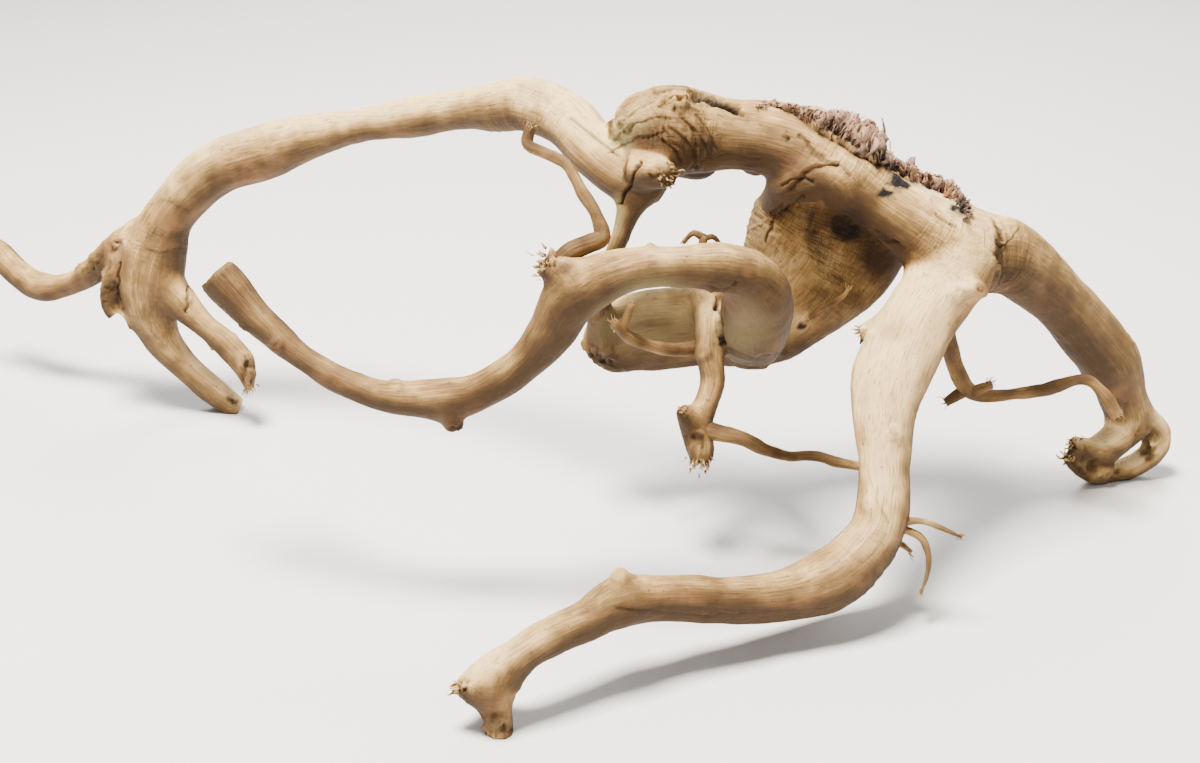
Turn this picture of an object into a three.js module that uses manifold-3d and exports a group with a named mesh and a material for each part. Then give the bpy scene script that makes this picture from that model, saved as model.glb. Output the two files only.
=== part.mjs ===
// A spiderwood root: a debarked, sand-cleaned root crown whose arms arch out and come down on three points.
// It grew as one piece, so it is one closed solid. Millimetres, +Z up, origin under the middle of its box.
import * as THREE from 'three';
import { mergeVertices } from 'three/addons/utils/BufferGeometryUtils.js';
import Module from 'manifold-3d';

const wasm = await Module();
wasm.setup();

// Driving dimensions
const reach = 575; // mm, from the broken left end to the bow of the right arm
const drawnReach = 684; // the same reach in the units of the drawing that the stations below are read from
const unit = reach / drawnReach; // mm in one drawing unit
const boxMiddle = { x: -35.22, y: 51.51 }; // drawing units, the spot under the middle of the root's box
const ringStep = 10.5; // mm between two rings along a limb
const stoutSides = 14;
const armSides = 12;
const branchSides = 8;
const twigSides = 6;
const lumpShare = 0.05; // how far growth swells and pinches a limb, as a share of its radius
const bladeThickness = 1.4; // mm, torn fibres of the crest and of frayed ends
const rootColour = 0xd9bf98;
const weldDistance = 1e-4; // mm

// Stations of each limb, drawing units: x to the right, y to the back, z up, then the limb's radius there
const crownStations = [
  [8, 70, 200, 6], [12, 70, 201, 11], [20, 70, 202, 16], [32, 70, 201, 21], [48, 69, 200, 19],
  [63, 68, 199, 16], [79, 66, 198, 16], [96, 62, 194, 16], [114, 56, 184, 16], [131, 52, 172, 16],
  [149, 48, 161, 16.5], [167, 46, 150, 19], [178, 48, 145, 19],
];
const crownBackStations = [
  [78, 72, 198, 10], [92, 76, 198, 13], [118, 77, 184, 17], [138, 75, 169, 17], [156, 71, 157, 15],
  [170, 66, 151, 13], [182, 60, 148, 10],
];
const archArmStations = [
  [26, 66, 176, 10], [12, 66, 180, 12], [-3, 75, 189, 12], [-16, 88, 200, 12.5], [-33, 100, 205, 13],
  [-49, 112, 201, 12], [-73, 128, 194, 10], [-103, 145, 184, 9.5], [-130, 158, 177, 9.6],
  [-159, 168, 167, 12.5], [-184, 176, 157, 16], [-207, 180, 149, 15.5], [-226, 184, 135, 15],
  [-244, 186, 114, 14.7],
  [-255, 184, 89, 17], [-258, 180, 66, 14.4], [-255, 178, 47, 10.4], [-245, 177, 31, 8.1],
  [-231, 176, 16, 7.3], [-217, 175, 4, 6], [-212, 175, 1, 5],
];
const secondFingerStations = [
  [-252, 179, 84, 8], [-238, 172, 70, 9.1], [-225, 166, 58, 7.4], [-210, 160, 47, 6.8], [-203, 155, 37, 5.7],
  [-199, 150, 27, 2.5],
];
const flangeStations = [[-260, 184, 108, 5], [-268, 184, 92, 9], [-274, 184, 74, 9], [-274, 183, 60, 5]];
const fingerThornStations = [[-226, 166, 56, 4], [-222, 163, 50, 2.5], [-221, 162, 44, 0.7]];
const leftStubStations = [
  [-250, 187, 103, 10], [-269, 190, 99, 8.5], [-287, 200, 84, 9], [-306, 208, 69, 7.6],
  [-327, 216, 61, 8.9], [-344, 224, 63, 8.4], [-360, 232, 75, 7.5], [-374, 238, 85, 5],
];
const loopArmStations = [
  [76, 58, 90, 12], [76, 55, 97, 14], [75, 34, 117, 17.2], [72, 8, 142, 15.7], [60, -12, 160, 11.2],
  [35, -26, 168, 9.6], [9, -32, 167, 10], [-12, -30, 154, 12.7], [-22, -28, 137, 11.5], [-35, -27, 121, 9.4],
  [-54, -25, 107, 8.8], [-70, -24, 103, 9.2], [-94, -22, 102, 8.4], [-112, -18, 106, 7.8],
  [-136, -10, 116, 7.7], [-154, -2, 129, 8.5], [-170, 6, 144, 9.4], [-175, 8, 149, 9],
];
const loopArmThornStations = [[-70, -24, 100, 6], [-68, -24, 91, 4], [-68, -24, 86, 1.6]];
const frontLegStations = [
  [182, 52, 152, 16], [176, 50, 147, 20], [162, 34, 132, 18.2], [146, 14, 118, 17.4], [136, -2, 104, 17.2],
  [132, -12, 94, 15.3], [131, -20, 82, 13.2], [131, -27, 71, 11.8], [130, -36, 58, 12.4],
  [128, -42, 48, 12.8], [122, -48, 39, 13.3], [106, -57, 28, 13.2], [82, -67, 25, 11.7],
  [57, -77, 29, 10.9], [35, -85, 35, 9.9],
  [17, -93, 39, 10.4], [4, -100, 40, 10.3], [-6, -106, 37, 9], [-20, -115, 35, 8.1], [-33, -123, 31, 8.1],
  [-43, -127, 20, 10.5], [-43, -131, 11, 7], [-42, -133, 4, 6], [-42, -134, -1, 5.8],
];
const frontLegKnot = [[9, -97, 40, 6], [9, -97, 48, 4.6], [9, -96, 52, 2.4]];
const footCornerStations = [[-45, -131, 20, 8], [-52, -131, 20, 6], [-60, -131, 20, 2.6]];
const rightArmStations = [
  [186, 52, 145, 16], [195, 56, 142, 17.6], [213, 64, 129, 15.8], [234, 74, 109, 14.2], [256, 84, 84, 14.5],
  [269, 89, 67, 14.2], [278, 92, 48, 12.3], [281, 92, 36, 11], [277, 89, 26, 8.8], [264, 83, 22, 6],
  [249, 76, 29, 3.8],
];
const clawStations = [
  [284, 94, 38, 9], [299, 96, 26, 8], [297, 93, 13, 6], [277, 90, 3, 5], [258, 80, 10, 4.4],
  [246, 72, 22, 2.2],
];
const clawBridgeStations = [[271, 86, 24, 5], [269, 86, 14, 4.6], [266, 84, 7, 4]];
const backTwigStations = [
  [163, 50, 131, 6], [175, 58, 93, 4.2], [185, 60, 70, 4.2], [196, 60, 64, 3.4], [224, 58, 68, 3.2],
  [243, 54, 76, 2.9], [253, 50, 70, 3.2], [261, 48, 59, 3.2],
];
const backTwigSpurs = [
  [[190, 59, 67, 3], [194, 56, 71, 2.6], [198, 55, 73, 2]],
  [[186, 60, 67, 3.2], [181, 59, 64, 2.6], [176, 58, 61, 2]],
];
const strutStations = [
  [25, 60, 188, 8], [23, 60, 180, 6.7], [15, 58, 166, 5], [10, 56, 152, 4.1], [3, 55, 134, 4.3],
  [0, 56, 113, 5], [3, 60, 92, 6],
];
const hookTwigStations = [
  [-12, -30, 160, 7], [-17, -30, 168, 5.4], [-22, -30, 172, 4.5],
];
const risingTwigStations = [
  [-19, -30, 170, 4], [-13, -27, 175, 4], [-4, -22, 177, 3.8], [1, -18, 179, 3.5], [-2, -14, 188, 2.8],
  [-8, -8, 196, 2.7], [-14, 0, 205, 2.6], [-24, 6, 209, 2.5], [-32, 10, 212, 2.8], [-31, 14, 219, 2.6],
];
const hangingStemStations = [
  [53, 64, 116, 7], [53, 46, 109, 6.2], [53, 38, 98, 6.2], [55, 31, 86, 5.9], [52, 25, 76, 5.7],
  [48, 20, 66, 6.5], [49, 14, 57, 5.4], [49, 12, 53, 4.6],
];
const hangingStemKnob = [[48, 20, 68, 5], [43, 17, 73, 4.4], [40, 15, 77, 3]];
const hangingTwigStations = [
  [50, 19, 66, 4.6], [59, 15, 65, 4.2], [70, 11, 64, 3.5], [80, 8, 60, 3.1], [91, 5, 58, 2.7],
  [102, 2, 60, 2.7], [114, -1, 58, 2.5], [125, -4, 57, 2],
];
const innerTwigStations = [
  [50, 42, 98, 4.4], [46, 40, 99, 4], [34, 30, 103, 3.2], [23, 22, 109, 2.9], [14, 16, 116, 3],
  [6, 12, 125, 2.4],
];
const innerTwigSpur = [[10, 14, 120, 2.2], [13, 15, 127, 1.8], [15, 16, 133, 1.4]];
const forkedTwigStations = [
  [[45, -22, 168, 2.6], [45, -18, 174, 2], [46, -16, 178, 1.6]],
  [[46, -16, 177, 1.6], [41, -15, 179, 1.4], [37, -13, 174, 0.9]],
  [[46, -16, 177, 1.6], [50, -14, 177, 1.4], [54, -12, 172, 0.9]],
];
const bowlTwigStations = [[103, 64, 104, 2.4], [108, 56, 112, 1.8], [118, 46, 124, 1.4], [121, 46, 129, 1]];
const sprayStations = [
  [[136, -40, 47, 4], [146, -44, 50, 2], [155, -46, 48, 1.6], [165, -48, 44, 0.8]],
  [[136, -40, 45, 4], [146, -45, 43, 2], [150, -47, 37, 1.8], [151, -49, 28, 1.4], [148, -52, 16, 0.8]],
  [[132, -42, 40, 4], [139, -45, 38, 2], [143, -46, 35, 1]],
];
const kneeStubStations = [[142, 22, 121, 5], [129, 24, 116, 3.6], [123, 24, 115, 2.4]];

// The plate is the flattened trunk below the crown. Each station has half its width in place of a radius.
const plateStations = [
  [134, 78, 184, 28], [126, 80, 164, 41], [110, 78, 136, 40], [84, 72, 106, 27], [46, 66, 100, 21],
  [21, 64, 98, 20], [3, 62, 92, 14], [-6, 61, 89, 6],
];
const plateFlatness = 0.45; // thickness over width
const plateFacing = new THREE.Vector3(0.1, -1, 0.25); // the way its broad side looks

// The torn crest: broken root fibres standing along the back of the crown
const crestStations = [
  [80, 80, 206, 4], [98, 82, 205, 6], [115, 84, 201, 7], [130, 84, 192, 7], [139, 83, 183, 6],
  [152, 79, 177, 5], [170, 70, 166, 5], [183, 60, 155, 4],
];
const crestBlades = 34;
const crestFacing = new THREE.Vector3(0.3, -1, 0.2);
const crestHeights = { tall: 14, low: 7, tallShare: 0.55 }; // drawing units, and how much of it stands tall

// Carvings, drawing units: the dark hollow in the plate's front as a limb, the others by centre and half sizes
const hollowStations = [
  [98, 56, 170, 7], [110, 56, 158, 14], [123, 56, 141, 17], [132, 57, 122, 13], [134, 58, 106, 6],
];
const stubHole = { at: [34, 46, 212], half: [3, 5, 3] }; // the hole of the broken cone stub
const crack = { at: [20, 52, 172], half: [2.2, 9, 11] }; // where the arch arm parts from the strut
const groundDepth = 40; // mm, how far down the levelled feet are cut away

/** A generator of the same run of random numbers between 0 and 1 for one seed. */
function randomFrom(seed) {
  let state = seed;
  return () => {
    state = (state * 16807) % 2147483647;
    return state / 2147483647;
  };
}

/** A drawn place as millimetres from the origin. */
function place([x, y, z]) {
  return new THREE.Vector3(x - boxMiddle.x, y - boxMiddle.y, z).multiplyScalar(unit);
}

/** A closed geometry as a solid that can be joined and cut. */
function solidOf(geometry) {
  geometry.deleteAttribute('normal');
  geometry.deleteAttribute('uv');
  const welded = mergeVertices(geometry, weldDistance);
  const mesh = new wasm.Mesh({
    numProp: 3,
    vertProperties: new Float32Array(welded.attributes.position.array),
    triVerts: new Uint32Array(welded.index.array),
  });
  return new wasm.Manifold(mesh);
}

/** Two directions across the limb at a ring: turning along with the limb, or held to the way it faces. */
function acrossAt(frames, ring, facing) {
  if (!facing) {
    return [frames.normals[ring], frames.binormals[ring]];
  }
  const wide = new THREE.Vector3().crossVectors(frames.tangents[ring], facing).normalize();
  const deep = new THREE.Vector3().crossVectors(frames.tangents[ring], wide);
  return [wide, deep];
}

/** A limb: the rings of a closed cylinder carried along a curve through its stations, swelling as it grew. */
function limb(stations, sides, growth = {}) {
  const { seed = 1, lumps = lumpShare, facing = null, flatness = 1, step = ringStep } = growth;
  const curve = new THREE.CatmullRomCurve3(stations.map(place), false, 'centripetal');
  const girth = new THREE.CatmullRomCurve3(
    stations.map((station, index) => new THREE.Vector3(index, station[3] * unit, 0)), false, 'catmullrom');
  const length = curve.getLength();
  const rings = Math.max(stations.length - 1, Math.round(length / step));
  const frames = curve.computeFrenetFrames(rings, false);
  const random = randomFrom(seed * 7919);
  const phases = [random(), random(), random()].map((share) => share * 2 * Math.PI);
  const geometry = new THREE.CylinderGeometry(1, 1, 1, sides, rings);
  const position = geometry.attributes.position;
  for (let i = 0; i < position.count; i += 1) {
    const ring = Math.round((0.5 - position.getY(i)) * rings);
    const along = ring / rings;
    const turn = Math.atan2(position.getX(i), position.getZ(i));
    const swell = 0.6 * Math.sin(2 * turn + phases[0] + (along * length) / 21)
      + 0.4 * Math.sin(3 * turn + phases[1] - (along * length) / 13)
      + 0.5 * Math.sin(phases[2] + (along * length) / 9);
    const radius = girth.getPoint(curve.getUtoTmapping(along)).y * (1 + lumps * swell);
    const [wide, deep] = acrossAt(frames, ring, facing);
    const point = curve.getPointAt(along)
      .addScaledVector(wide, position.getX(i) * radius)
      .addScaledVector(deep, position.getZ(i) * radius * flatness);
    position.setXYZ(i, point.x, point.y, point.z);
  }
  return solidOf(geometry);
}

/** Torn fibres standing out of a broken end, longest in the middle of the tear. */
function frayedEnd(stations, count, seed) {
  const random = randomFrom(seed * 104729);
  const [before, end] = stations.slice(-2);
  const outward = new THREE.Vector3(end[0] - before[0], end[1] - before[1], end[2] - before[2]).normalize();
  const [x, y, z, radius] = end;
  const wide = new THREE.Vector3(outward.z, 0.3, -outward.x).cross(outward).normalize();
  const deep = new THREE.Vector3().crossVectors(outward, wide);
  return Array.from({ length: count }, (_, index) => {
    const turn = ((index + 0.5 * random()) / count) * 2 * Math.PI;
    const spread = radius * (0.35 + 0.3 * random());
    const root = new THREE.Vector3(x, y, z)
      .addScaledVector(wide, Math.cos(turn) * spread)
      .addScaledVector(deep, Math.sin(turn) * spread);
    const rise = radius * (0.4 + 0.6 * random());
    const lean = 0.5 * random();
    const tip = root.clone().addScaledVector(outward, rise)
      .addScaledVector(wide, Math.cos(turn) * lean * radius)
      .addScaledVector(deep, Math.sin(turn) * lean * radius);
    const sunk = root.clone().addScaledVector(outward, -0.6 * radius);
    const thick = Math.max(0.3 * radius, bladeThickness);
    const fibre = [[...sunk, thick], [...root, 0.9 * thick], [...tip, bladeThickness / 3]];
    return limb(fibre, 4, { seed: seed + index, lumps: 0, step: 100 });
  });
}

/** The torn crest: a rough rib with flat broken blades of uneven height standing out of it. */
function crest() {
  const random = randomFrom(31);
  const rib = limb(crestStations, branchSides, { seed: 5, lumps: 0.16 });
  const line = new THREE.CatmullRomCurve3(crestStations.map(([x, y, z]) => new THREE.Vector3(x, y, z)));
  const blades = Array.from({ length: crestBlades }, (_, index) => {
    const along = (index + 0.6 * random()) / crestBlades;
    const root = line.getPointAt(along);
    const tangent = line.getTangentAt(along);
    const { tall, low, tallShare } = crestHeights;
    const height = along < tallShare ? tall * (0.3 + 1.2 * along) : low;
    const rise = height * (0.55 + 0.6 * random());
    const outward = new THREE.Vector3(0.35 + 0.3 * random(), 0.5 * (random() - 0.35), 1).normalize();
    const lower = root.clone().addScaledVector(outward, -5);
    const top = root.clone().addScaledVector(outward, rise).addScaledVector(tangent, 4 * (random() - 0.3));
    top.y += 8 * (random() - 0.5);
    const blade = [[...lower, 4.2], [...root, 4 + 2 * random()], [...top, 1.2 + 1.6 * random()]];
    return limb(blade, 5, { seed: index + 90, lumps: 0, facing: crestFacing, flatness: 0.45, step: 100 });
  });
  return [rib, ...blades];
}

/** A rounded hollow to be cut out. */
function scoop({ at, half }) {
  const geometry = new THREE.SphereGeometry(1, 16, 12);
  geometry.scale(half[0] * unit, half[1] * unit, half[2] * unit);
  const centre = place(at);
  geometry.translate(centre.x, centre.y, centre.z);
  return solidOf(geometry);
}

/** The ground that the three resting points stand on. */
function ground() {
  const geometry = new THREE.BoxGeometry(2 * reach, 2 * reach, groundDepth);
  geometry.translate(0, 0, -groundDepth / 2);
  return solidOf(geometry);
}

/** Every limb, branch, twig, spur and torn end, each sunk into what it grows from. */
function grownLimbs() {
  const stout = [crownStations, crownBackStations, frontLegStations].map((stations, index) =>
    limb(stations, stoutSides, { seed: 11 + index }));
  const arms = [archArmStations, loopArmStations, rightArmStations].map((stations, index) =>
    limb(stations, armSides, { seed: 21 + index }));
  const plate = limb(plateStations, 18, { seed: 3, facing: plateFacing, flatness: plateFlatness });
  const flange = limb(flangeStations, branchSides, { seed: 4, facing: plateFacing, flatness: plateFlatness });
  const branches = [
    secondFingerStations, leftStubStations, clawStations, clawBridgeStations, footCornerStations, strutStations,
    hangingStemStations,
  ].map((stations, index) => limb(stations, branchSides, { seed: 41 + index }));
  const twigs = [
    fingerThornStations, loopArmThornStations, backTwigStations, ...backTwigSpurs, hookTwigStations,
    risingTwigStations, hangingStemKnob, hangingTwigStations, innerTwigStations, innerTwigSpur,
    ...forkedTwigStations, bowlTwigStations, ...sprayStations, kneeStubStations, frontLegKnot,
  ].map((stations, index) => limb(stations, twigSides, { seed: 61 + index, step: 0.8 * ringStep }));
  const torn = [
    backTwigStations, risingTwigStations, hangingStemStations, footCornerStations, hookTwigStations,
    rightArmStations, clawStations, innerTwigStations,
  ].flatMap((stations, index) => frayedEnd(stations, 4, 201 + index));
  return [...stout, ...arms, plate, flange, ...branches, ...twigs, ...torn, ...crest()];
}

/** The whole root as one solid, with its hollows cut and its three resting points levelled. */
function rootSolid() {
  const grown = grownLimbs().reduce((whole, piece) => whole.add(piece));
  const cuts = [limb(hollowStations, stoutSides, { seed: 8 }), scoop(stubHole), scoop(crack), ground()];
  return cuts.reduce((whole, cut) => whole.subtract(cut), grown);
}

/** A solid's triangles as a geometry. */
function geometryOf(solid) {
  const mesh = solid.getMesh();
  const geometry = new THREE.BufferGeometry();
  geometry.setAttribute('position', new THREE.BufferAttribute(new Float32Array(mesh.vertProperties), 3));
  geometry.setIndex(new THREE.BufferAttribute(new Uint32Array(mesh.triVerts), 1));
  geometry.computeVertexNormals();
  return geometry;
}

const wood = new THREE.MeshStandardMaterial({ color: rootColour, roughness: 0.75, metalness: 0 });
const root = new THREE.Mesh(geometryOf(rootSolid()), wood);
root.name = 'spiderwood_root';

const group = new THREE.Group();
group.add(root);

export default group;
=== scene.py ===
import bmesh
import bpy
import numpy as np
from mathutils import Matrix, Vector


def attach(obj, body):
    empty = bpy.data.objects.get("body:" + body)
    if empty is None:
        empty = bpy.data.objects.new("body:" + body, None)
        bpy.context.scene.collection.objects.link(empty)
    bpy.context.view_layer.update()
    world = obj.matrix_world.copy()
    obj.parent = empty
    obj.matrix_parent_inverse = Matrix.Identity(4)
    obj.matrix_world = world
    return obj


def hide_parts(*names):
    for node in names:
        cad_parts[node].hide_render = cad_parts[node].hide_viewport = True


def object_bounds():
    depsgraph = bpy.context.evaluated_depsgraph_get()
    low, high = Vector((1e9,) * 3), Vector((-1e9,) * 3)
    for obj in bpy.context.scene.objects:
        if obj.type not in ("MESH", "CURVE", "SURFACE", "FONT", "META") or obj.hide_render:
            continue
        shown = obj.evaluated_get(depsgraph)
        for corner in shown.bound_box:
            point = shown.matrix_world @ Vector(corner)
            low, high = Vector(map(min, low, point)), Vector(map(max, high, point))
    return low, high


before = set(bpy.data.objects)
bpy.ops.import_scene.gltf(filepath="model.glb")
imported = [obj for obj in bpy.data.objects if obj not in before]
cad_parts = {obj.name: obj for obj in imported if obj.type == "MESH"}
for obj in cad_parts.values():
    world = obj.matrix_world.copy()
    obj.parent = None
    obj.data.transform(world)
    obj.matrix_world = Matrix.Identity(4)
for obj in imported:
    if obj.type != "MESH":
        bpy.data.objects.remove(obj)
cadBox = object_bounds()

# The root is drawn on a measured layout: x right, y back, z up, then the limb's radius, all in drawing units.
layout = {"reach": 0.575, "drawnReach": 684, "middle": (-35.22, 51.51)}
unit = layout["reach"] / layout["drawnReach"]   # metres in one drawing unit
mm = 0.001

limbs = {
    "crown": [(8, 70, 200, 6), (12, 70, 201, 11), (20, 70, 202, 16), (32, 70, 201, 21), (48, 69, 200, 19),
              (63, 68, 199, 16), (79, 66, 198, 16), (96, 62, 194, 16), (114, 56, 184, 16), (131, 52, 172, 16),
              (149, 48, 161, 16.5), (167, 46, 150, 19), (178, 48, 145, 19)],
    "crownBack": [(78, 72, 198, 10), (92, 76, 197, 11.5), (118, 77, 184, 17), (138, 75, 166, 15),
                  (156, 71, 154, 13.5), (170, 66, 151, 13), (182, 60, 148, 10)],
    "archArm": [(26, 66, 176, 10), (12, 66, 180, 12), (-3, 75, 189, 12), (-16, 88, 200, 12.5), (-33, 100, 205, 13),
                (-49, 112, 201, 12), (-73, 128, 194, 10), (-103, 145, 184, 9.5), (-130, 158, 177, 9.6),
                (-159, 168, 167, 12.5), (-184, 176, 157, 16), (-207, 180, 149, 15.5), (-226, 184, 135, 15),
                (-244, 186, 114, 14.7), (-255, 184, 89, 17), (-258, 180, 66, 14.4), (-255, 178, 47, 10.4),
                (-245, 177, 31, 8.1), (-231, 176, 16, 7.3), (-217, 175, 4, 6), (-212, 175, 1, 5)],
    "secondFinger": [(-252, 179, 84, 8), (-238, 172, 70, 9.1), (-225, 166, 58, 7.4), (-210, 160, 47, 8),
                     (-202, 155, 37, 7.2), (-199, 150, 25, 3.6)],
    "leftStub": [(-250, 187, 103, 10), (-269, 190, 99, 8.5), (-287, 200, 84, 9), (-306, 208, 69, 7.6),
                 (-327, 216, 61, 8.9), (-344, 224, 63, 8.4), (-360, 232, 75, 7.5), (-374, 238, 85, 5)],
    "loopArm": [(76, 58, 90, 12), (76, 55, 97, 14), (75, 34, 117, 17.2), (72, 8, 142, 15.7), (60, -12, 160, 11.2),
                (35, -26, 168, 9.6), (9, -32, 167, 10), (-12, -30, 154, 12.7), (-22, -28, 137, 11.5),
                (-35, -27, 121, 9.4), (-54, -25, 107, 8.8), (-70, -24, 103, 9.2), (-94, -22, 102, 8.4),
                (-112, -18, 106, 7.8), (-136, -10, 116, 7.7), (-154, -2, 129, 8.5), (-170, 6, 144, 9.4),
                (-175, 8, 149, 9)],
    "frontLeg": [(182, 52, 152, 16), (176, 50, 147, 20), (162, 34, 132, 18.2), (146, 14, 118, 17.4),
                 (136, -2, 104, 17.2), (132, -12, 94, 15.3), (131, -20, 82, 13.2), (131, -27, 71, 11.8),
                 (130, -36, 58, 12.4), (128, -42, 48, 12.8), (122, -48, 39, 13.3), (106, -57, 28, 13.2),
                 (82, -67, 25, 11.7), (57, -77, 29, 10.9), (35, -85, 35, 9.9), (17, -93, 39, 10.4),
                 (4, -100, 40, 10.3), (-6, -106, 37, 9), (-20, -115, 35, 8.1), (-33, -123, 31, 8.1),
                 (-43, -127, 20, 10.5), (-43, -131, 11, 7), (-42, -133, 4, 6), (-42, -134, -1, 5.8)],
    "rightArm": [(186, 52, 145, 16), (195, 56, 142, 17.6), (213, 64, 129, 15.8), (234, 74, 109, 14.2),
                 (256, 84, 84, 14.5), (269, 89, 67, 14.2), (278, 92, 48, 12.3), (281, 92, 36, 11), (277, 89, 26, 8.8),
                 (264, 83, 22, 6), (249, 76, 29, 3.8)],
    "claw": [(284, 94, 38, 9), (299, 96, 26, 8), (297, 93, 13, 6), (277, 90, 3, 5), (258, 80, 10, 4.4),
             (246, 72, 22, 2.2)],
    "clawBridge": [(271, 86, 24, 5), (269, 86, 14, 4.6), (266, 84, 7, 4)],
    "strut": [(25, 60, 188, 8), (23, 60, 180, 6.7), (15, 58, 166, 5), (10, 56, 152, 4.1), (3, 55, 134, 4.3),
              (0, 56, 113, 5), (3, 60, 92, 6)],
    "hangingStem": [(53, 64, 116, 7), (53, 46, 109, 6.2), (53, 38, 98, 6.2), (55, 31, 86, 5.9), (52, 25, 76, 5.7),
                    (48, 20, 66, 7), (49, 14, 57, 7), (49, 12, 52, 6)],
    "stemKnob": [(48, 20, 68, 5), (43, 17, 73, 4.4), (40, 15, 77, 3)],
    "footCorner": [(-45, -131, 20, 8), (-52, -131, 20, 6), (-60, -131, 20, 2.6)],
    "hookStub": [(-12, -30, 160, 7), (-17, -30, 167, 6.6), (-23, -30, 171, 6.2)],
    "kneeStub": [(142, 22, 121, 5), (129, 24, 116, 3.6), (123, 24, 115, 2.4)],
    "loopThorn": [(-70, -24, 100, 6), (-68, -24, 91, 4), (-68, -24, 86, 1.6)],
    "legKnot": [(9, -97, 40, 6), (9, -97, 48, 4.6), (9, -96, 52, 2.4)],
    "underFlap": [(36, 84, 182, 4), (42, 84, 178, 5), (50, 84, 177, 5), (57, 84, 180, 3)],
    "underFlapTwo": [(69, 82, 183, 3), (76, 82, 179.5, 5), (83, 82, 182, 3)],
    "splinter": [(-268, 178, 99, 3), (-276, 177, 84, 3.4), (-282, 176, 71, 2.8), (-281, 175, 62, 2),
                 (-273, 174, 54, 1)],
    "plateLip": [(84, 68, 164, 5), (89, 59, 174, 8), (98, 51, 181, 9), (108, 46, 184, 8), (114, 44, 180, 6),
                 (113, 46, 173, 3)],
    "tornStub": [(19, 52, 185, 6), (24, 46, 187, 5.5), (29, 41, 188, 5), (32, 38, 189, 4)],
}
plates = {   # flattened limbs: half the width in place of the radius
    "plate": [(128, 77, 176, 22), (122, 79, 162, 36), (110, 78, 136, 40), (84, 72, 106, 27), (46, 66, 100, 21),
              (21, 64, 98, 20), (3, 62, 92, 14), (-6, 61, 89, 6)],
    "flange": [(-260, 184, 108, 5), (-268, 184, 92, 9), (-274, 184, 74, 9), (-274, 183, 60, 5)],
}
plateForm = {"flatness": 0.45, "facing": (0.1, -1, 0.25)}
hollowRoute = [(98, 56, 170, 7), (110, 56, 158, 14), (123, 56, 141, 17), (132, 57, 122, 13), (134, 58, 106, 6)]
crestRoute = [(80, 80, 204, 4), (98, 82, 202, 5), (115, 84, 197, 5), (130, 84, 186, 5), (139, 83, 176, 4.5),
              (152, 79, 168, 4.5), (170, 70, 158, 4.5), (183, 60, 150, 3.5)]
twigs = {
    "backTwig": [(163, 50, 131, 6), (175, 58, 93, 4.2), (185, 60, 70, 4.2), (196, 60, 64, 3.4), (224, 58, 68, 3.2),
                 (243, 54, 76, 2.9), (253, 50, 70, 3.2), (261, 48, 59, 3.2)],
    "backSpurOne": [(190, 59, 67, 3), (194, 56, 71, 2.6), (198, 55, 73, 2)],
    "backSpurTwo": [(186, 60, 67, 3.2), (181, 59, 64, 2.6), (176, 58, 61, 2)],
    "risingTwig": [(-19, -30, 170, 4), (-13, -27, 175, 4), (-4, -22, 177, 3.8), (1, -18, 179, 3.5),
                   (-2, -14, 188, 2.8), (-8, -8, 196, 2.7), (-14, 0, 205, 2.6), (-24, 6, 209, 2.5),
                   (-32, 10, 212, 2.8), (-31, 14, 219, 2.6)],
    "hangingTwig": [(50, 19, 66, 4.6), (59, 15, 65, 4.2), (70, 11, 64, 3.5), (80, 8, 60, 3.1), (91, 5, 58, 2.7),
                    (102, 2, 60, 2.7), (114, -1, 58, 2.5), (125, -4, 57, 2)],
    "innerTwig": [(50, 42, 98, 4.4), (46, 40, 99, 4), (34, 30, 103, 3.2), (23, 22, 109, 2.9), (14, 16, 116, 3),
                  (6, 12, 125, 2.4)],
    "innerSpur": [(10, 14, 120, 2.2), (13, 15, 127, 1.8), (15, 16, 133, 1.4)],
    "forkStem": [(45, -22, 168, 2.6), (45, -18, 174, 2), (46, -16, 178, 1.6)],
    "forkLeft": [(46, -16, 177, 1.6), (41, -15, 179, 1.4), (37, -13, 174, 0.9)],
    "forkRight": [(46, -16, 177, 1.6), (50, -14, 177, 1.4), (54, -12, 172, 0.9)],
    "bowlTwig": [(99, 76, 97, 2.2), (103, 64, 104, 1.8), (108, 56, 112, 1.5), (118, 46, 124, 1.2),
                 (121, 46, 129, 0.9)],
    "sprayUpper": [(136, -40, 47, 4), (146, -44, 50, 3), (155, -46, 48, 2.2), (165, -48, 44, 1)],
    "sprayLower": [(136, -40, 45, 4), (146, -45, 43, 3.2), (150, -47, 37, 3), (151, -49, 28, 2.3),
                   (148, -52, 16, 0.9)],
    "sprayShort": [(132, -42, 40, 4), (139, -45, 38, 2.6), (143, -46, 35, 1.3)],
    "fingerThorn": [(-226, 166, 56, 4), (-222, 163, 50, 2.5), (-221, 162, 44, 0.7)],
}


def drawn(points):
    # drawing units to metres from the origin
    points = np.asarray(points, float)
    return np.column_stack([(points[:, 0] - layout["middle"][0]) * unit,
                            (points[:, 1] - layout["middle"][1]) * unit, points[:, 2] * unit])


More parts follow.
